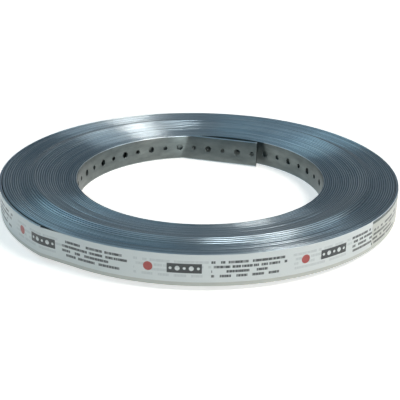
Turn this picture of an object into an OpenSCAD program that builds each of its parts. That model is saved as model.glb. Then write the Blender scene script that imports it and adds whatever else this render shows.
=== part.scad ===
// A flat coil of perforated steel strap, lying on its side, with the printed
// tape that holds it closed. The origin is the middle of the coil, on the floor.
// Angles are counted anticlockwise from +X, seen from above. From its inner end
// the strap winds anticlockwise and outwards.

/* [Strap] */
// Width of the strap
strap_w = 20; // [14:0.5:40]
// Thickness of the strap
strap_t = 1.5; // [1:0.1:2.5]
// Bevel left along the strap's slit edges
edge_bevel = 0.2; // [0.1:0.05:0.4]

/* [Nail holes] */
// Diameter of the large holes
large_d = 5; // [3:0.1:6.5]
// Diameter of the small holes, which alternate with the large ones
small_d = 3.5; // [2:0.1:5]
// Distance from one hole to the next, along the strap
hole_pitch = 12.5; // [9:0.5:20]
// Distance from the strap's inner end to its first hole
end_margin = 4; // [3:0.5:6]

/* [Coil] */
// Diameter of the open middle
bore_d = 180; // [140:5:260]
// Number of turns
turns = 35; // [26:1:50]
// Air between one turn and the next
turn_gap = 0.04; // [0.02:0.01:0.1]

/* [Slipped turns] */
// Number of inner turns that stand on the floor
standing_turns = 6; // [3:1:10]
// Turn that has slipped up furthest in the inner half
crest_turn = 20; // [14:1:20]
// Upward slip of that turn
crest_slip = 4.7; // [0:0.1:6]
// Turn that has sunk back furthest in the outer half
dip_turn = 24; // [21:1:25]
// Upward slip of that turn
dip_slip = 2.8; // [0:0.1:6]
// Upward slip of the outermost turn
outer_slip = 3.9; // [1.5:0.1:6]

/* [Inner end] */
// Angle at which the inner end leaves the coil
tail_at = 97.5; // [0:0.5:360]
// Length of the straight inner end, from its kink to its tip
tail_len = 61; // [40:1:70]
// Bend of the kink, away from the coil
kink_bend = 27; // [22:1:30]
// Lean of the kink's line, which tips the inner end over
kink_lean = 22; // [0:1:30]
// Downward turn of the inner end, which keeps its tip level with the coil
tail_droop = 1.5; // [0:0.5:3]

/* [Outer end] */
// Angle at which the strap's outer end stops
outer_end_at = 228; // [180:1:270]
// Angle over which the outer end springs away from the coil
spring_angle = 65; // [35:1:70]
// Gap behind the outer end at its tip
spring_gap = 1.3; // [0.5:0.1:3]
// Upward slip of the outer end above the turn that it belongs to
end_slip = 0.1; // [0.05:0.05:0.5]

/* [Tape] */
// Thickness of one lap of tape
tape_t = 0.15; // [0.1:0.05:0.4]
// Bare steel left above the outer lap
tape_margin = 0.1; // [0:0.1:2]
// Depth to which the inner lap hangs below the outermost turn
tape_hang = 0.9; // [0:0.1:1.4]
// Rise of the tape from its inner lap to its outer lap
tape_rise = 2.6; // [0:0.1:4]
// Angle at which the outer lap starts
lap_start = 35; // [0:1:60]
// Angle at which the outer lap is cut off
lap_end = 321; // [300:1:350]
// Air between the steel and the tape
tape_fit = 0.05; // [0.02:0.01:0.2]

/* [Hidden] */
$fn = 180;

bore_r = bore_d / 2;
pitch = strap_t + turn_gap;
coil_r = bore_r + turns * pitch - turn_gap;
mid_z = strap_w / 2;

// The outer end follows a circle that leaves the coil's own circle slowly. The
// middle of that circle is moved towards the free tip.
tip_r = coil_r + spring_gap + strap_t;
spring_shift = (tip_r - coil_r) / (1 - cos(spring_angle));
spring_r = tip_r - spring_shift;

// The tape's two laps together cover the outermost turn, less the margin, and hang below it
tape_w = strap_w + tape_hang - tape_margin - tape_rise;

// Air that lets a drill start and end clear of the strap
run_out = 1;

// The stretched tape is led this far into the coil's circle, so that the two meet in a
// clear crossing
tape_bite = 0.01;

// ---- Turns ----

// Upward slip of turn i, counted from 0 at the inside
function slip(i) = lookup(i, [
    [standing_turns - 1, 0],
    [crest_turn - 1, crest_slip],
    [dip_turn - 1, dip_slip],
    [turns - 1, outer_slip]
]);

function turn_r(i) = bore_r + i * pitch;

// Radius of the groove between turn i - 1 and turn i, or of the bore's own edge
function groove_r(i) = i == 0 ? bore_r : turn_r(i) - turn_gap / 2;

// Slip of the lower and of the higher of the two turns beside groove i
function lower_slip(i) = min(slip(max(i - 1, 0)), slip(i));
function higher_slip(i) = max(slip(max(i - 1, 0)), slip(i));

// The upper edges of all turns, from the inside out
upper_edges = [
    for (i = [0 : turns - 1]) each [
        [groove_r(i), strap_w + lower_slip(i) - edge_bevel],
        [turn_r(i) + edge_bevel, strap_w + slip(i)],
        [turn_r(i) + strap_t - edge_bevel, strap_w + slip(i)]
    ],
    [coil_r, strap_w + outer_slip - edge_bevel]
];

// The lower edges of all turns, from the outside in
lower_edges = [
    [coil_r, outer_slip + edge_bevel],
    for (i = [turns - 1 : -1 : 0]) each [
        [turn_r(i) + strap_t - edge_bevel, slip(i)],
        [turn_r(i) + edge_bevel, slip(i)],
        [groove_r(i), higher_slip(i) + edge_bevel]
    ]
];

module wound_turns() {
    rotate_extrude() polygon(concat(upper_edges, lower_edges));
}

// ---- Nail holes ----

function hole_d(k) = k % 2 == 0 ? small_d : large_d;

// Distance of hole k from the strap's inner end
function hole_at(k) = end_margin + k * hole_pitch;

// The innermost turn grows by one pitch on its way round, so its holes are spread
// on its mean radius.
first_turn_r = bore_r + (strap_t + pitch) / 2;
first_turn_len = first_turn_r * 2 * PI;

// Angle of hole k on the bore's wall
function hole_angle(k) = tail_at + (hole_at(k) - tail_len) / first_turn_r * 180 / PI;

// Holes closer to the kink than this would be cut by its bend
kink_room = large_d / 2 + strap_t / 2;
tail_holes = [for (k = [0 : floor(tail_len / hole_pitch)]) if (hole_at(k) < tail_len - kink_room) k];
wall_holes = [
    for (k = [0 : floor((tail_len + first_turn_len) / hole_pitch)])
        if (hole_at(k) > tail_len + kink_room && hole_at(k) < tail_len + first_turn_len - 2 * kink_room) k
];

module wall_hole(k) {
    rotate(hole_angle(k))
        translate([bore_r - run_out, 0, mid_z])
            rotate([0, 90, 0])
                cylinder(d = hole_d(k), h = strap_t + run_out);
}

// ---- Section of the strap ----

// Inner face on x = 0, with the slit edges bevelled
module strap_section() {
    polygon([
        [0, edge_bevel],
        [edge_bevel, 0],
        [strap_t - edge_bevel, 0],
        [strap_t, edge_bevel],
        [strap_t, strap_w - edge_bevel],
        [strap_t - edge_bevel, strap_w],
        [edge_bevel, strap_w],
        [0, strap_w - edge_bevel]
    ]);
}

// ---- Inner end ----

// The end laid flat along +X, with its inner face on y = 0. It starts behind the
// kink, inside the coil.
module flat_end() {
    difference() {
        translate([-strap_w, 0, -mid_z])
            rotate([90, 0, 90])
                linear_extrude(height = strap_w + tail_len)
                    strap_section();
        for (k = tail_holes)
            translate([tail_len - hole_at(k), -run_out, 0])
                rotate([-90, 0, 0])
                    cylinder(d = hole_d(k), h = strap_t + 2 * run_out);
    }
}

// Space past the kink's line
module past_kink() {
    rotate([0, kink_lean, 0])
        translate([0, -strap_w, -2 * strap_w])
            cube([2 * tail_len, 2 * strap_w, 4 * strap_w]);
}

module inner_end() {
    // The lean lowers the outer face's lower edge by this much, which would meet the floor
    lift = strap_t * sin(kink_lean) * sin(kink_bend);
    rotate(tail_at - 90)
        translate([0, bore_r, mid_z + lift])
            rotate(a = -kink_bend, v = [sin(kink_lean), 0, cos(kink_lean)])
                intersection() {
                    rotate([0, tail_droop, 0]) flat_end();
                    past_kink();
                }
}

// ---- Outer end ----

// The circle starts inside the coil. Only what has come out of the steel is kept.
module outer_end() {
    difference() {
        rotate(outer_end_at)
            translate([spring_shift, 0, outer_slip + end_slip])
                rotate(-spring_angle)
                    rotate_extrude(angle = spring_angle)
                        translate([spring_r - strap_t, 0])
                            strap_section();
        cylinder(r = coil_r, h = 2 * strap_w);
    }
}

// ---- Tape ----

function direction(angle) = [cos(angle), sin(angle)];

// Everything between two angles
module sector(from_angle, to_angle) {
    polygon([[0, 0], 2 * tip_r * direction(from_angle), 2 * tip_r * direction(to_angle)]);
}

// Outline of the coil and its sprung end, seen from above and grown outwards. Past
// the tip the tape is stretched straight, down to where it touches the coil again.
module wrapped_outline(grown) {
    tip = (tip_r + grown) * direction(outer_end_at);
    touch_r = coil_r + grown - tape_bite;
    touch = touch_r * direction(outer_end_at + acos(touch_r / (tip_r + grown)));
    circle(coil_r + grown);
    intersection() {
        rotate(outer_end_at) translate([spring_shift, 0]) circle(spring_r + grown);
        polygon([
            [0, 0],
            2 * tip_r * direction(outer_end_at - spring_angle),
            touch + 3 * (tip - touch),
            touch
        ]);
    }
}

// One lap, counted from 0 at the steel
module lap_outline(lap) {
    inside = tape_fit + lap * tape_t;
    difference() {
        wrapped_outline(inside + tape_t);
        wrapped_outline(inside);
    }
}

// ---- Whole pieces ----

module strap_coil() {
    color("lightsteelblue") {
        difference() {
            wound_turns();
            for (k = wall_holes) wall_hole(k);
        }
        inner_end();
        outer_end();
    }
}

module label_tape() {
    inner_lap_z = outer_slip - tape_hang;
    color("white") {
        translate([0, 0, inner_lap_z])
            linear_extrude(height = tape_w)
                lap_outline(0);
        translate([0, 0, inner_lap_z + tape_rise])
            linear_extrude(height = tape_w)
                difference() {
                    lap_outline(1);
                    sector(lap_end, lap_start + 360);
                }
    }
}

strap_coil();
label_tape();
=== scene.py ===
import math

import bmesh
import bpy
import numpy as np
from mathutils import Matrix, Vector


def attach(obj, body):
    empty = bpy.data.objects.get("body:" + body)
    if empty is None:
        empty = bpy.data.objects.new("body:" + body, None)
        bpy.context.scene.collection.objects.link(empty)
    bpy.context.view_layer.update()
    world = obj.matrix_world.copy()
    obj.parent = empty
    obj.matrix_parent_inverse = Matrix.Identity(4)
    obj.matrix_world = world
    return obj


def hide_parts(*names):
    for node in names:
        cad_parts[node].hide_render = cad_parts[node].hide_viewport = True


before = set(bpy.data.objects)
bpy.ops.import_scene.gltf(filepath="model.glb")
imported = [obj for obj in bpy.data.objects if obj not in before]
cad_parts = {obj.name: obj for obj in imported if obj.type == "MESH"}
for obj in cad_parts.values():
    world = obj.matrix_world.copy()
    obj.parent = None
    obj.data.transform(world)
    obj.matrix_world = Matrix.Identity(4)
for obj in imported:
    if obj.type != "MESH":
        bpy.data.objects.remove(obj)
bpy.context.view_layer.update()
mm = 0.001


def linearColour(code):
    # sRGB hex to the linear values that shaders want
    channels = [int(code[i:i + 2], 16) / 255 for i in (1, 3, 5)]
    return [c / 12.92 if c <= 0.04045 else ((c + 0.055) / 1.055) ** 2.4 for c in channels] + [1]


def newMaterial(name):
    material = bpy.data.materials.new(name)
    material.use_nodes = True
    material.node_tree.nodes.clear()
    return material


def addNode(owner, kind, settings=None, links=None):
    # settings go on the node or its sockets, links are {socket: output of another node}
    tree = owner.node_tree
    node = tree.nodes.new(kind)
    for name, value in (settings or {}).items():
        if isinstance(name, int) or name in node.inputs:
            node.inputs[name].default_value = value
        else:
            setattr(node, name, value)
    for name, output in (links or {}).items():
        tree.links.new(output, node.inputs[name])
    return node


def placePiece(name, bm, bend, material, replaced):
    # the flat piece in bm is bent into place in its mesh, and rides on the part's one body
    mesh = bpy.data.meshes.new(name)
    bm.to_mesh(mesh)
    bm.free()
    flat = np.empty(len(mesh.vertices) * 3)
    mesh.vertices.foreach_get("co", flat)
    mesh.vertices.foreach_set("co", (bend(flat.reshape(-1, 3)) * mm).ravel())
    mesh.materials.append(material)
    mesh.update()
    piece = bpy.data.objects.new(name, mesh)
    bpy.context.scene.collection.objects.link(piece)
    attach(piece, "root")
    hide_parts(replaced)


def thicken(bm, thickness):
    # gives a flat sheet its wall, from z = 0 upwards, with its faces outwards
    bmesh.ops.solidify(bm, geom=bm.faces[:], thickness=thickness)
    low = min(v.co.z for v in bm.verts)
    bmesh.ops.translate(bm, verts=bm.verts[:], vec=(0, 0, -low))
    if bm.calc_volume(signed=True) < 0:
        bmesh.ops.reverse_faces(bm, faces=bm.faces[:])


def isCorner(edge):
    return edge.calc_face_angle(0) > math.radians(60)


def setSharpEdges(bm, rounded):
    # edges that turn by more than this are sharp, but the rounded ones shade as one soft curve
    softest = math.radians(30)
    for face in bm.faces:
        face.smooth = True
    for edge in bm.edges:
        edge.smooth = edge in rounded or edge.calc_face_angle(0) < softest


def keepFlatPlace(bm):
    # two UV maps keep each point's place on the flat strip and in its section, in metres
    flat = bm.loops.layers.uv.new("flatPlace")
    section = bm.loops.layers.uv.new("sectionPlace")
    for face in bm.faces:
        for loop in face.loops:
            loop[flat].uv = (loop.vert.co.x * mm, loop.vert.co.y * mm)
            loop[section].uv = (loop.vert.co.z * mm, loop.vert.co.y * mm)


# the strap: one strip of perforated steel, wound into a flat coil (mm and degrees, turns counted
# from the bore)
strap = {
    "width": 20, "thickness": 1.5,
    "rolledEdge": 0.34, "squareEdge": 0.16, "rimBevel": 0.12,  # roundings of slit edges and hole rims
    "largeHole": 5, "smallHole": 3.5, "holePitch": 12.5, "endMargin": 4,
    "rimBlock": 1.1,  # width of the faces laid round each hole
    "punched": 1180, "plainStep": 4.4,  # where the holes stop, and the length of a face after that
    "boreRadius": 90, "pitch": 1.532, "windings": 34.36, "startAngle": 97.5,
    "tailLength": 61, "kinkBend": 27, "kinkLean": 22, "kinkRadius": 5, "tailDroop": 2, "tailLift": 0.12,
    # how far each turn has slipped upwards
    "slipTurn": [0, 4, 9, 14, 18, 19.3, 20, 23.5, 25, 30, 33, 34.4],
    "slipUp": [0, 0, 0.75, 2.2, 4.0, 4.6, 4.45, 2.75, 2.7, 3.2, 3.65, 3.85],
    "slipMost": 4.69, "wander": 0.14, "steadyTurns": 4,
    # where the turns stand off: the outer end, the outermost turn before it, and the innermost turns
    "springArc": 90, "springGap": 1.6,
    "looseAt": 240, "looseSpan": 42, "looseGap": 0.45,
    "innerLooseTurns": 3, "innerLooseAt": 212, "innerLooseSpan": 34, "innerLooseGap": 0.3,
    # finish
    "faceTones": ("#636a69", "#7f8684"), "faceRoughness": 0.4, "cloudSize": 6, "cloudStretch": 0.35,
    "edgeTones": ("#b0bfc8", "#dce3e5"), "edgeRoughness": 0.31, "edgeWidth": 0.65, "driftLength": 150,
    "brokenTone": "#666d72", "brokenShare": 0.8,
    "brokenAt": 0.92, "brokenWidth": 0.6,  # from the inner face, through the thickness
    # the outermost turns' slit edges are kept bright all through: a painted highlight
    "paintedHighlightTurns": 1.15, "paintedHighlightFade": 20,
    # the cut ends are bare steel, painted near-black as painted shade
    "choppedShadeTone": "#2c3134", "choppedShadeDepth": 0.05,
    "grain": 0.78,
}
strapMiddle = strap["width"] / 2


def windingAngle(s):
    # angle wound at a length s of a spiral that grows by one pitch a turn
    start = strap["boreRadius"] + strap["thickness"] / 2
    growth = strap["pitch"] / (2 * math.pi)
    return (np.sqrt(start ** 2 + 2 * growth * s) - start) / growth


def windingLength(angle):
    start = strap["boreRadius"] + strap["thickness"] / 2
    return start * angle + strap["pitch"] * angle ** 2 / (4 * math.pi)


def softBump(distance, span):
    # 1 in the middle, down to 0 at a span on either side
    return (1 + np.cos(np.pi * np.clip(distance / span, -1, 1))) / 2


def standOff(degreesToEnd):
    # the outer end springs away from the coil, and the outermost turn is a little loose on one side
    spring = np.clip(1 - degreesToEnd / strap["springArc"], 0, 1) ** 2
    loose = softBump(degreesToEnd - strap["looseAt"], strap["looseSpan"])
    return strap["springGap"] * spring + strap["looseGap"] * loose


def unevenness(turn, angle):
    # slow and repeatable, and different from turn to turn
    waves = np.sin(2 * angle + 2.3 * turn) + 0.6 * np.sin(3 * angle - 1.7 * turn)
    return (waves + 1.2 * np.sin(5.1 * turn)) / 2


def coilPoint(s, y, n):
    # s along the strip, y across it and n out from its inner face
    wound = windingAngle(s)
    turn = wound / (2 * math.pi)
    angle = wound + math.radians(strap["startAngle"])
    toEnd = 360 * (strap["windings"] - turn)
    radius = strap["boreRadius"] + strap["pitch"] * turn + n + standOff(toEnd)
    # the innermost turns have sagged inwards in one place
    fromSag = (np.degrees(angle) - strap["innerLooseAt"] + 180) % 360 - 180
    sag = softBump(fromSag, strap["innerLooseSpan"])
    radius = radius - strap["innerLooseGap"] * sag * (turn < strap["innerLooseTurns"])
    slip = np.interp(turn, strap["slipTurn"], strap["slipUp"])
    wander = strap["wander"] * np.clip(turn / strap["steadyTurns"] - 1, 0, 1)
    slip = slip + wander * unevenness(np.floor(turn), angle)
    z = y + np.clip(slip, 0, strap["slipMost"])
    return np.stack([radius * np.cos(angle), radius * np.sin(angle), z], 1)


def tailPoint(s, y, n):
    # past the kink the strip runs straight, turned away from the coil about a leaning line
    lean, bend = math.radians(strap["kinkLean"]), math.radians(strap["kinkBend"])
    half = strap["thickness"] / 2
    arc = strap["kinkRadius"] * bend
    past = -s * math.cos(lean) - (y - strapMiddle) * math.sin(lean) + arc / 2
    foot = coilPoint(s + past * math.cos(lean), y + past * math.sin(lean), np.full_like(s, half))
    turned = np.clip(past / arc, 0, 1) * bend
    straight = np.maximum(past - arc, 0)
    onward = strap["kinkRadius"] * np.sin(turned) + straight * math.cos(bend)
    onward = onward + (n - half) * np.sin(turned)
    inward = strap["kinkRadius"] * (1 - np.cos(turned)) + straight * math.sin(bend)
    inward = inward - (n - half) * np.cos(turned)
    down = onward * math.sin(lean) + straight * math.tan(math.radians(strap["tailDroop"]))
    onward = onward * math.cos(lean)
    turn = math.radians(strap["startAngle"] - 90)
    x = foot[:, 0] + onward * math.cos(turn) + inward * math.sin(turn)
    y = foot[:, 1] + onward * math.sin(turn) - inward * math.cos(turn)
    lift = strap["tailLift"] * np.clip(past / arc, 0, 1)
    return np.stack([x, y, foot[:, 2] + lift - down], 1), past


def bendStrap(points):
    s, y, n = points.T
    wound = coilPoint(s, y, n)
    straight, past = tailPoint(np.minimum(s, strap["width"]), y, n)
    return np.where(((past > 0) & (s < strap["width"]))[:, None], straight, wound)


# round each hole lies a square block of lines, three on either side of its middle,
# and the inner two of them close in on the circle
blockLines, holeLines = 3, 2


def strapColumns():
    # lines across the strip, each with its place along it, the middle and radius of the hole there,
    # and its number in the block of lines round that hole
    tip = -strap["tailLength"]
    columns = []
    k = 0
    middle = tip + strap["endMargin"]
    while middle < strap["punched"]:
        radius = (strap["smallHole"] if k % 2 == 0 else strap["largeHole"]) / 2
        block = radius + strap["rimBlock"]
        columns.append((max(tip, middle - strap["holePitch"] / 2), middle, radius, None))
        columns += [(middle + block * i / blockLines, middle, radius, i)
                    for i in range(-blockLines, blockLines + 1)]
        k += 1
        middle += strap["holePitch"]
    plainStart = middle - strap["holePitch"] / 2
    plain = windingLength(2 * math.pi * strap["windings"]) - plainStart
    count = round(plain / strap["plainStep"])
    columns += [(plainStart + plain * i / count, None, None, None) for i in range(count + 1)]
    return columns


def fromSlit(v):
    return min(v.co.y, strap["width"] - v.co.y)


def alongSlit(edge, z):
    a, b = edge.verts
    onSlit = all(fromSlit(v) < 0.001 and abs(v.co.z - z) < 0.01 for v in edge.verts)
    return onSlit and abs(a.co.y - b.co.y) < 0.001


def isRounded(v):
    # the slit edges are softly crowned, up to the strap's flat faces
    inner = v.co.z < strap["thickness"] / 2
    return fromSlit(v) < 0.9 * (strap["rolledEdge"] if inner else strap["squareEdge"])


def isRim(edge):
    # round a hole's mouth, on either face of the strip
    a, b = edge.verts
    return (abs(a.co.z - b.co.z) < 0.01 and edge.calc_length() < strap["largeHole"] / 2
            and all(abs(v.co.y - strapMiddle) < strap["largeHole"] for v in edge.verts))


def makeStrap(material):
    columns = strapColumns()
    slitRow = blockLines + 1
    rows = 2 * slitRow
    bm = bmesh.new()
    bmesh.ops.create_grid(bm, x_segments=len(columns) - 1, y_segments=rows, size=0.5)
    inHole, plain = set(), set()
    for v in bm.verts:
        s, middle, radius, line = columns[round((v.co.x + 0.5) * (len(columns) - 1))]
        row = round((v.co.y + 0.5) * rows) - slitRow
        if line is not None and max(abs(line), abs(row)) <= holeLines:
            # the square of lines round a hole closes in on the circle
            ring = max(abs(line), abs(row))
            step = math.pi / 4 / max(ring, 1)
            if abs(line) >= abs(row):
                angle = step * row if line > 0 else math.pi - step * row
            else:
                angle = math.pi / 2 - step * line if row > 0 else step * line - math.pi / 2
            out = radius * ring / holeLines
            v.co = (middle + out * math.cos(angle), strapMiddle + out * math.sin(angle), 0)
            inHole.add(v)
        else:
            spacing = ((radius or strap["largeHole"] / 2) + strap["rimBlock"]) / blockLines
            away = row * spacing if abs(row) < slitRow else math.copysign(strapMiddle, row)
            v.co = (s, strapMiddle + away, 0)
        if middle is None:
            plain.add(v)
    punched = [f for f in bm.faces if all(v in inHole for v in f.verts)]
    bmesh.ops.delete(bm, geom=punched, context="FACES")
    # past the punched stretch, which is all that can be seen, the strip is plain
    spare = [e for e in bm.edges if len(e.link_faces) == 2 and all(v in plain for v in e.verts)
             and e.verts[0].co.y == e.verts[1].co.y]
    bmesh.ops.dissolve_edges(bm, edges=spare, use_verts=True)
    thicken(bm, strap["thickness"])
    bevel = {"offset_type": "OFFSET", "profile": 0.5, "affect": "EDGES", "material": -1}
    # slitting rolls the inner face's edges over and leaves the outer face's edges nearly square
    for z, offset in ((0, strap["rolledEdge"]), (strap["thickness"], strap["squareEdge"])):
        slit = [e for e in bm.edges if isCorner(e) and alongSlit(e, z)]
        bmesh.ops.bevel(bm, geom=slit, offset=offset, segments=2, **bevel)
    rims = [e for e in bm.edges if isCorner(e) and isRim(e)]
    bmesh.ops.bevel(bm, geom=rims, offset=strap["rimBevel"], segments=1, **bevel)
    setSharpEdges(bm, {e for e in bm.edges if all(isRounded(v) for v in e.verts)})
    keepFlatPlace(bm)
    placePiece("strapCoil", bm, bendStrap, material, "strap_coil")


# the label tape: printed film, wound nearly twice round the coil (mm, and degrees wound from the right)
tape = {
    "width": 17.95, "thickness": 0.14, "fit": 0.05, "low": 3.0, "rise": 2.6,
    "start": 35, "end": 681, "riseFrom": 385, "riseTo": 540, "stepOver": 3,
    "segmentAngle": 1.5, "woundRadius": 144,
    # the print, and the ghost of the lap below it
    "repeat": 98, "printShift": 8, "middle": 9.0, "ghostSlide": 47,
    "rows": 4, "rowFrom": 3.3, "rowPitch": 3, "rowInk": 0.56, "rowSeed": 0.053,
    "barFrom": 31, "barShortest": 32, "barLongest": 49,
    "wordLength": 5, "wordGap": 0.37, "letterLength": 0.9, "letterFaint": 0.65,
    "stripAt": 15, "stripLength": 21, "stripHeight": 6.2, "stripHolePitch": 4.2, "stripHoles": (0.9, 1.5),
    "discAt": 91, "discRadius": 2.9,
    # finish
    "singleTone": "#c4c5bd", "doubleTone": "#dadddb", "lapFade": 4,
    "ghostTone": "#9fa4a4", "ghostShare": 0.35,
    "inkTone": "#25292b", "rowShare": 0.92, "stripShare": 0.95,
    "discTone": "#a8322c", "discShare": 0.92,
    "roughness": 0.36, "ior": 1.49, "rippleLength": 25, "rippleDepth": 0.3,
}
coilEndAngle = (strap["startAngle"] + 360 * strap["windings"]) % 360


def bareRadius(toEnd):
    turn = strap["windings"] - toEnd / 360
    return strap["boreRadius"] + strap["pitch"] * turn + strap["thickness"] + standOff(toEnd)


def outerRadius(degrees):
    # the coil's outside, with the film stretched straight past the strap's outer end
    toEnd = (coilEndAngle - degrees) % 360
    tipRadius, after = bareRadius(0), bareRadius(360)
    reach = math.degrees(math.acos(after / tipRadius))
    pastEnd = 360 - toEnd
    bridge = after / np.cos(np.radians(np.clip(reach - pastEnd, 0, reach)))
    return np.where(pastEnd < reach, np.maximum(bridge, bareRadius(toEnd)), bareRadius(toEnd))


def smoothStep(value, low, high):
    share = np.clip((value - low) / (high - low), 0, 1)
    return share * share * (3 - 2 * share)


def bendTape(points):
    degrees = points[:, 0]
    # the second lap steps over the start of the first
    lapped = tape["start"] + 360
    onTop = smoothStep(degrees, lapped - tape["stepOver"], lapped)
    radius = outerRadius(degrees) + tape["fit"] + points[:, 2] + onTop * (tape["thickness"] + tape["fit"])
    z = tape["low"] + points[:, 1] + tape["rise"] * smoothStep(degrees, tape["riseFrom"], tape["riseTo"])
    angle = np.radians(degrees)
    return np.stack([radius * np.cos(angle), radius * np.sin(angle), z], 1)


def makeTape(material):
    bm = bmesh.new()
    span = tape["end"] - tape["start"]
    bmesh.ops.create_grid(bm, x_segments=round(span / tape["segmentAngle"]), y_segments=2, size=0.5)
    for v in bm.verts:
        v.co = (tape["start"] + (v.co.x + 0.5) * span, (v.co.y + 0.5) * tape["width"], 0)
    thicken(bm, tape["thickness"])
    setSharpEdges(bm, set())
    uv = bm.loops.layers.uv.new("flatPlace")
    for face in bm.faces:
        for loop in face.loops:
            along = math.radians(loop.vert.co.x) * tape["woundRadius"] + tape["printShift"]
            loop[uv].uv = (along * mm, loop.vert.co.y * mm)
    placePiece("labelTape", bm, bendTape, material, "label_tape")


def zincCoatedSteel():
    # hot-dip zinc on rolled strip, gone dull: mid grey faces with a soft sheen, and clean bright edges
    # where the strip was slit, grained along the strap so that highlights spread across the turns
    material = newMaterial("zincCoatedSteel")
    place = addNode(material, "ShaderNodeUVMap", {"uv_map": "flatPlace"}).outputs["UV"]
    split = addNode(material, "ShaderNodeSeparateXYZ", None, {0: place})
    along, across = split.outputs["X"], split.outputs["Y"]
    section = addNode(material, "ShaderNodeUVMap", {"uv_map": "sectionPlace"}).outputs["UV"]
    through = addNode(material, "ShaderNodeSeparateXYZ", None, {0: section}).outputs["X"]

    # the tone of the edges drifts along the strip, so neighbouring turns differ a little
    drift = addNode(material, "ShaderNodeTexNoise",
                    {"noise_dimensions": "1D", "Scale": 1 / (strap["driftLength"] * mm),
                     "Detail": 4, "Roughness": 0.65}, {"W": along})
    # zinc clouds on the faces, drawn out along the rolling direction
    drawnOut = addNode(material, "ShaderNodeMapping", {"Scale": (strap["cloudStretch"], 1, 1)},
                       {"Vector": place})
    cloud = addNode(material, "ShaderNodeTexNoise",
                    {"Scale": 1 / (strap["cloudSize"] * mm), "Detail": 4, "Roughness": 0.6},
                    {"Vector": drawnOut.outputs[0]})
    edgeTone = addNode(material, "ShaderNodeValToRGB", None, {0: drift.outputs["Fac"]})
    faceTone = addNode(material, "ShaderNodeValToRGB", None, {0: cloud.outputs["Fac"]})
    for ramp, tones in ((edgeTone, strap["edgeTones"]), (faceTone, strap["faceTones"])):
        for stop, position, tone in zip(ramp.color_ramp.elements, (0.3, 0.7), tones):
            stop.position = position
            stop.color = linearColour(tone)

    # a slit edge is burnished where the knife went in, and dull and grey where the steel then broke,
    # but the outermost turn's edge is left bright all through, a painted highlight
    broken = addNode(material, "ShaderNodeMath",
                     {"operation": "COMPARE",
                      1: strap["brokenAt"] * mm, 2: strap["brokenWidth"] / 2 * mm}, {0: through})
    paintedHighlightFrom = windingLength(2 * math.pi * (strap["windings"] - strap["paintedHighlightTurns"])) * mm
    fading = addNode(material, "ShaderNodeMapRange",
                     {1: paintedHighlightFrom - strap["paintedHighlightFade"] * mm, 2: paintedHighlightFrom,
                      3: strap["brokenShare"], 4: 0}, {0: along})
    dull = addNode(material, "ShaderNodeMath", {"operation": "MULTIPLY"},
                   {0: broken.outputs[0], 1: fading.outputs[0]})
    slitTone = addNode(material, "ShaderNodeMix",
                       {"data_type": "RGBA", 7: linearColour(strap["brokenTone"])},
                       {0: dull.outputs[0], 6: edgeTone.outputs["Color"]})

    onFace = addNode(material, "ShaderNodeMath",
                     {"operation": "COMPARE", 1: strapMiddle * mm,
                      2: (strapMiddle - strap["edgeWidth"]) * mm}, {0: across}).outputs[0]
    tone = addNode(material, "ShaderNodeMix", {"data_type": "RGBA"},
                   {0: onFace, 6: slitTone.outputs[2], 7: faceTone.outputs["Color"]})
    roughness = addNode(material, "ShaderNodeMapRange",
                        {3: strap["edgeRoughness"], 4: strap["faceRoughness"]}, {0: onFace})
    # both ends were chopped off and are bare steel, and their near-black tone is painted shade
    tip, end = -strap["tailLength"], windingLength(2 * math.pi * strap["windings"])
    halfLength = (end - tip) / 2
    between = addNode(material, "ShaderNodeMath",
                      {"operation": "COMPARE", 1: (tip + end) / 2 * mm,
                       2: (halfLength - strap["choppedShadeDepth"]) * mm}, {0: along})
    tone = addNode(material, "ShaderNodeMix",
                   {"data_type": "RGBA", 6: linearColour(strap["choppedShadeTone"])},
                   {0: between.outputs[0], 7: tone.outputs[2]})

    tangent = addNode(material, "ShaderNodeTangent", {"direction_type": "RADIAL", "axis": "Z"})
    # a quarter turn of the grain spreads the highlights across the turns
    shader = addNode(material, "ShaderNodeBsdfPrincipled",
                     {"Metallic": 1.0, "Anisotropic": strap["grain"], "Anisotropic Rotation": 0.25},
                     {"Base Color": tone.outputs[2], "Roughness": roughness.outputs[0],
                      "Tangent": tangent.outputs["Tangent"]})
    addNode(material, "ShaderNodeOutputMaterial", None, {"Surface": shader.outputs["BSDF"]})
    return material


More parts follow.
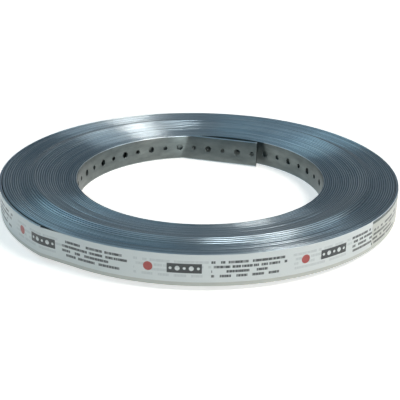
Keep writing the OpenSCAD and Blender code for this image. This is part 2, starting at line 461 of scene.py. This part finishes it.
def barRows(material, place, slide):
    # rows of plain broken bars, with the weight of small print but nothing to read
    moved = addNode(material, "ShaderNodeVectorMath", {"operation": "ADD", 1: (slide * mm, 0, 0)},
                    {0: place})
    split = addNode(material, "ShaderNodeSeparateXYZ", None, {0: moved.outputs[0]})
    along, across = split.outputs["X"], split.outputs["Y"]

    rowsTo = tape["rowFrom"] + tape["rows"] * tape["rowPitch"]
    rowPlace = addNode(material, "ShaderNodeMapRange",
                       {"clamp": False, 1: tape["rowFrom"] * mm, 2: rowsTo * mm, 3: 0, 4: tape["rows"]},
                       {0: across}).outputs[0]
    onRows = addNode(material, "ShaderNodeMath",
                     {"operation": "COMPARE", 1: tape["rows"] / 2, 2: tape["rows"] / 2}, {0: rowPlace})
    row = addNode(material, "ShaderNodeMath", {"operation": "FLOOR"}, {0: rowPlace}).outputs[0]
    inRow = addNode(material, "ShaderNodeMath", {"operation": "FRACT"}, {0: rowPlace})
    bar = addNode(material, "ShaderNodeMath", {"operation": "LESS_THAN", 1: tape["rowInk"]},
                  {0: inRow.outputs[0]})

    # each row starts at one place in every repeat, and ends at a place of its own
    repeat = addNode(material, "ShaderNodeMath", {"operation": "MODULO", 1: tape["repeat"] * mm},
                     {0: along}).outputs[0]
    started = addNode(material, "ShaderNodeMath", {"operation": "GREATER_THAN", 1: tape["barFrom"] * mm},
                      {0: repeat})
    lengths = addNode(material, "ShaderNodeTexWhiteNoise", {"noise_dimensions": "1D"}, {"W": row})
    rowEnd = addNode(material, "ShaderNodeMapRange",
                     {3: (tape["barFrom"] + tape["barShortest"]) * mm,
                      4: (tape["barFrom"] + tape["barLongest"]) * mm}, {0: lengths.outputs["Value"]})
    unfinished = addNode(material, "ShaderNodeMath", {"operation": "LESS_THAN"},
                         {0: repeat, 1: rowEnd.outputs[0]})

    # a coarse noise breaks the rows into words, and a fine one makes their strokes uneven
    seed = addNode(material, "ShaderNodeMath", {"operation": "MULTIPLY", 1: tape["rowSeed"]}, {0: row})
    seeded = addNode(material, "ShaderNodeCombineXYZ", None, {0: along, 1: seed.outputs[0]}).outputs[0]
    words = addNode(material, "ShaderNodeTexNoise",
                    {"noise_dimensions": "2D", "Scale": 1 / (tape["wordLength"] * mm), "Detail": 0},
                    {"Vector": seeded})
    inWord = addNode(material, "ShaderNodeMath", {"operation": "GREATER_THAN", 1: tape["wordGap"]},
                     {0: words.outputs["Fac"]})
    letters = addNode(material, "ShaderNodeTexNoise",
                      {"noise_dimensions": "2D", "Scale": 1 / (tape["letterLength"] * mm), "Detail": 0},
                      {"Vector": seeded})
    ink = addNode(material, "ShaderNodeMapRange", {1: 0.35, 2: 0.55, 3: tape["letterFaint"], 4: 1},
                  {0: letters.outputs["Fac"]})
    for mask in (onRows, bar, started, unfinished, inWord):
        ink = addNode(material, "ShaderNodeMath", {"operation": "MULTIPLY"},
                      {0: ink.outputs[0], 1: mask.outputs[0]})
    return ink.outputs[0]


def strapSign(material, repeat, across):
    # a dark bar with large and small round holes in turn, as in the strap itself
    left = tape["stripAt"] - tape["stripLength"] / 2
    pitch = tape["stripHolePitch"]
    inLength = addNode(material, "ShaderNodeMath",
                       {"operation": "COMPARE", 1: tape["stripAt"] * mm, 2: tape["stripLength"] / 2 * mm},
                       {0: repeat})
    inHeight = addNode(material, "ShaderNodeMath",
                       {"operation": "COMPARE", 1: tape["middle"] * mm, 2: tape["stripHeight"] / 2 * mm},
                       {0: across})
    fromLeft = addNode(material, "ShaderNodeMath", {"operation": "SUBTRACT", 1: left * mm}, {0: repeat})
    count = addNode(material, "ShaderNodeMath", {"operation": "DIVIDE", 1: pitch * mm},
                    {0: fromLeft.outputs[0]}).outputs[0]
    index = addNode(material, "ShaderNodeMath", {"operation": "FLOOR"}, {0: count})
    parity = addNode(material, "ShaderNodeMath", {"operation": "MODULO", 1: 2}, {0: index.outputs[0]})
    small, large = tape["stripHoles"]
    radius = addNode(material, "ShaderNodeMapRange", {3: small * mm, 4: large * mm},
                     {0: parity.outputs[0]})
    inCell = addNode(material, "ShaderNodeMath", {"operation": "FRACT"}, {0: count})
    cellX = addNode(material, "ShaderNodeMapRange", {3: -pitch / 2 * mm, 4: pitch / 2 * mm},
                    {0: inCell.outputs[0]})
    cellY = addNode(material, "ShaderNodeMath", {"operation": "SUBTRACT", 1: tape["middle"] * mm},
                    {0: across})
    cell = addNode(material, "ShaderNodeCombineXYZ", None, {0: cellX.outputs[0], 1: cellY.outputs[0]})
    away = addNode(material, "ShaderNodeVectorMath", {"operation": "LENGTH"}, {0: cell.outputs[0]})
    solid = addNode(material, "ShaderNodeMath", {"operation": "GREATER_THAN"},
                    {0: away.outputs["Value"], 1: radius.outputs[0]})
    ink = addNode(material, "ShaderNodeMath", {"operation": "MULTIPLY"},
                  {0: inLength.outputs[0], 1: inHeight.outputs[0]})
    return addNode(material, "ShaderNodeMath", {"operation": "MULTIPLY"},
                   {0: ink.outputs[0], 1: solid.outputs[0]}).outputs[0]


def redDisc(material, repeat, across):
    spot = addNode(material, "ShaderNodeCombineXYZ", None, {0: repeat, 1: across})
    away = addNode(material, "ShaderNodeVectorMath",
                   {"operation": "DISTANCE", 1: (tape["discAt"] * mm, tape["middle"] * mm, 0)},
                   {0: spot.outputs[0]})
    return addNode(material, "ShaderNodeMath", {"operation": "LESS_THAN", 1: tape["discRadius"] * mm},
                   {0: away.outputs["Value"]}).outputs[0]


def printedFilm():
    # white polypropylene film, printed on its face: satin, and so thin that the lap below shows through
    material = newMaterial("printedFilm")
    place = addNode(material, "ShaderNodeUVMap", {"uv_map": "flatPlace"}).outputs["UV"]
    split = addNode(material, "ShaderNodeSeparateXYZ", None, {0: place})
    along, across = split.outputs["X"], split.outputs["Y"]
    repeat = addNode(material, "ShaderNodeMath", {"operation": "MODULO", 1: tape["repeat"] * mm},
                     {0: along}).outputs[0]

    # a single lap over the steel looks duller and yellower than two laps
    secondLap = (math.radians(tape["start"] + 360) * tape["woundRadius"] + tape["printShift"]) * mm
    doubled = addNode(material, "ShaderNodeMapRange", {1: secondLap - tape["lapFade"] * mm, 2: secondLap},
                      {0: along})
    film = addNode(material, "ShaderNodeMix",
                   {"data_type": "RGBA", 6: linearColour(tape["singleTone"]),
                    7: linearColour(tape["doubleTone"])}, {0: doubled.outputs[0]}).outputs[2]
    prints = (
        (barRows(material, place, tape["ghostSlide"]), tape["ghostTone"], tape["ghostShare"]),
        (barRows(material, place, 0), tape["inkTone"], tape["rowShare"]),
        (strapSign(material, repeat, across), tape["inkTone"], tape["stripShare"]),
        (redDisc(material, repeat, across), tape["discTone"], tape["discShare"]),
    )
    for mask, tone, share in prints:
        cover = addNode(material, "ShaderNodeMath", {"operation": "MULTIPLY", 1: share}, {0: mask})
        film = addNode(material, "ShaderNodeMix", {"data_type": "RGBA", 7: linearColour(tone)},
                       {0: cover.outputs[0], 6: film}).outputs[2]

    # the film ripples a little under its tension
    ripple = addNode(material, "ShaderNodeTexNoise",
                     {"Scale": 1 / (tape["rippleLength"] * mm), "Detail": 2}, {"Vector": place})
    bump = addNode(material, "ShaderNodeBump", {"Strength": 0.5, "Distance": tape["rippleDepth"] * mm},
                   {"Height": ripple.outputs["Fac"]})
    shader = addNode(material, "ShaderNodeBsdfPrincipled",
                     {"Roughness": tape["roughness"], "IOR": tape["ior"]},
                     {"Base Color": film, "Normal": bump.outputs["Normal"]})
    addNode(material, "ShaderNodeOutputMaterial", None, {"Surface": shader.outputs["BSDF"]})
    return material


# the studio: a white sweep under soft lamps (metres and degrees, azimuths anticlockwise from the right)
studio = {
    "camera": {"distance": 0.640, "elevation": 21.63, "aim": 0.010, "roll": 0.88,
               "lens": 77.43, "sensor": 36, "shift": (0.00103, -0.0342), "clip": (0.01, 50)},
    "lampDistance": 2.5,
    "lamps": {  # azimuth, elevation, width, height, power, colour
        "lowLamp": (324, 11, 0.75, 0.6, 4, "#fff3ea"),
        "frontLamp": (286, 10, 1.2, 0.8, 15, "#ebf4f7"),
        "rightLamp": (4, 36, 1.4, 1.4, 9, "#e0f1fb"),
        "frontRightLamp": (340, 58, 0.9, 0.9, 29, "#fbf8f4"),
        "backLamp": (90, 55, 1.4, 1.4, 1.8, "#cbe7f8"),
        "backLeftLamp": (150, 36, 1.3, 1.3, 7, "#bde8fa"),
        "leftLamp": (168, 52, 1.4, 1.4, 5.5, "#b4def6"),
        "frontLeftLamp": (228, 55, 1.3, 1.3, 3.5, "#a9e0f8"),
    },
    "skyTone": "#bcd6ea", "skyStrength": 0.2,
    "horizon": (4, 9),  # elevations between which the white gives way to the sky
    "paperTone": "#f8f1e8", "paperHalf": 20,
    "nearGlow": 0.52, "farGlow": 1, "glowFrom": 0.3, "glowTo": 1.4,  # the glow grows between two radii
}


def onSphere(azimuth, elevation, distance):
    a, e = math.radians(azimuth), math.radians(elevation)
    return Vector((math.cos(a) * math.cos(e), math.sin(a) * math.cos(e), math.sin(e))) * distance


def makeLamp(name):
    azimuth, elevation, width, height, power, colour = studio["lamps"][name]
    data = bpy.data.lights.new(name, "AREA")
    data.shape = "ELLIPSE"
    data.size, data.size_y = width, height
    data.energy = power
    data.color = linearColour(colour)[:3]
    lamp = bpy.data.objects.new(name, data)
    lamp.location = onSphere(azimuth, elevation, studio["lampDistance"])
    lamp.rotation_mode = "QUATERNION"
    lamp.rotation_quaternion = (-lamp.location).to_track_quat("-Z", "Y")
    bpy.context.scene.collection.objects.link(lamp)


def shownRays(owner):
    # 1 for what the eye sees, straight, mirrored or through glass
    rays = addNode(owner, "ShaderNodeLightPath").outputs
    shown = addNode(owner, "ShaderNodeMath", {"operation": "MAXIMUM"},
                    {0: rays["Is Camera Ray"], 1: rays["Is Glossy Ray"]})
    return addNode(owner, "ShaderNodeMath", {"operation": "MAXIMUM"},
                   {0: shown.outputs[0], 1: rays["Is Transmission Ray"]}).outputs[0]


def makeCamera():
    values = studio["camera"]
    data = bpy.data.cameras.new("camera")
    data.lens = values["lens"]
    data.sensor_width = values["sensor"]
    data.shift_x, data.shift_y = values["shift"]
    data.clip_start, data.clip_end = values["clip"]
    camera = bpy.data.objects.new("camera", data)
    back = onSphere(270, values["elevation"], 1)
    camera.location = back * values["distance"] + Vector((0, 0, values["aim"]))
    facing = (-back).to_track_quat("-Z", "Y").to_matrix()
    roll = Matrix.Rotation(math.radians(values["roll"]), 3, "Z")
    camera.rotation_mode = "QUATERNION"
    camera.rotation_quaternion = (facing @ roll).to_quaternion()
    bpy.context.scene.collection.objects.link(camera)
    bpy.context.scene.camera = camera


def whitePaper():
    # matt paper, lit from behind for the eye and in reflections, and less so near the coil, so that
    # its shadow stays
    material = newMaterial("whitePaper")
    spot = addNode(material, "ShaderNodeTexCoord").outputs["Object"]
    reach = addNode(material, "ShaderNodeVectorMath", {"operation": "LENGTH"}, {0: spot})
    grown = addNode(material, "ShaderNodeMapRange",
                    {1: studio["glowFrom"], 2: studio["glowTo"],
                     3: studio["nearGlow"], 4: studio["farGlow"]}, {0: reach.outputs["Value"]})
    strength = addNode(material, "ShaderNodeMath", {"operation": "MULTIPLY"},
                       {0: shownRays(material), 1: grown.outputs[0]})
    matt = addNode(material, "ShaderNodeBsdfDiffuse", {"Color": linearColour(studio["paperTone"])})
    glow = addNode(material, "ShaderNodeEmission", {"Color": (1, 1, 1, 1)},
                   {"Strength": strength.outputs[0]})
    both = addNode(material, "ShaderNodeAddShader", None, {0: matt.outputs[0], 1: glow.outputs[0]})
    addNode(material, "ShaderNodeOutputMaterial", None, {"Surface": both.outputs[0]})
    return material


def makeFloor():
    bm = bmesh.new()
    bmesh.ops.create_grid(bm, x_segments=1, y_segments=1, size=studio["paperHalf"])
    mesh = bpy.data.meshes.new("floor")
    bm.to_mesh(mesh)
    bm.free()
    mesh.materials.append(whitePaper())
    floor = bpy.data.objects.new("floor", mesh)
    bpy.context.scene.collection.objects.link(floor)


def makeSky():
    # a dim sky gives the soft light, and a white horizon carries the paper on, but only for the eye
    # and in reflections
    world = bpy.data.worlds.new("world")
    world.use_nodes = True
    world.node_tree.nodes.clear()
    sky = addNode(world, "ShaderNodeBackground",
                  {"Color": linearColour(studio["skyTone"]), "Strength": studio["skyStrength"]})
    white = addNode(world, "ShaderNodeBackground", {"Color": (1, 1, 1, 1), "Strength": 1})
    direction = addNode(world, "ShaderNodeTexCoord").outputs["Generated"]
    height = addNode(world, "ShaderNodeSeparateXYZ", None, {0: direction}).outputs["Z"]
    low, high = (math.sin(math.radians(angle)) for angle in studio["horizon"])
    near = addNode(world, "ShaderNodeMapRange", {1: low, 2: high, 3: 1, 4: 0}, {0: height})
    share = addNode(world, "ShaderNodeMath", {"operation": "MULTIPLY"},
                    {0: near.outputs[0], 1: shownRays(world)})
    mixed = addNode(world, "ShaderNodeMixShader", None,
                    {0: share.outputs[0], 1: sky.outputs[0], 2: white.outputs[0]})
    addNode(world, "ShaderNodeOutputWorld", None, {"Surface": mixed.outputs[0]})
    bpy.context.scene.world = world


print("strap")
makeStrap(zincCoatedSteel())
print("label tape")
makeTape(printedFilm())
print("studio")
makeCamera()
for lampName in studio["lamps"]:
    makeLamp(lampName)
makeFloor()
makeSky()
bpy.context.scene.view_settings.view_transform = "Standard"
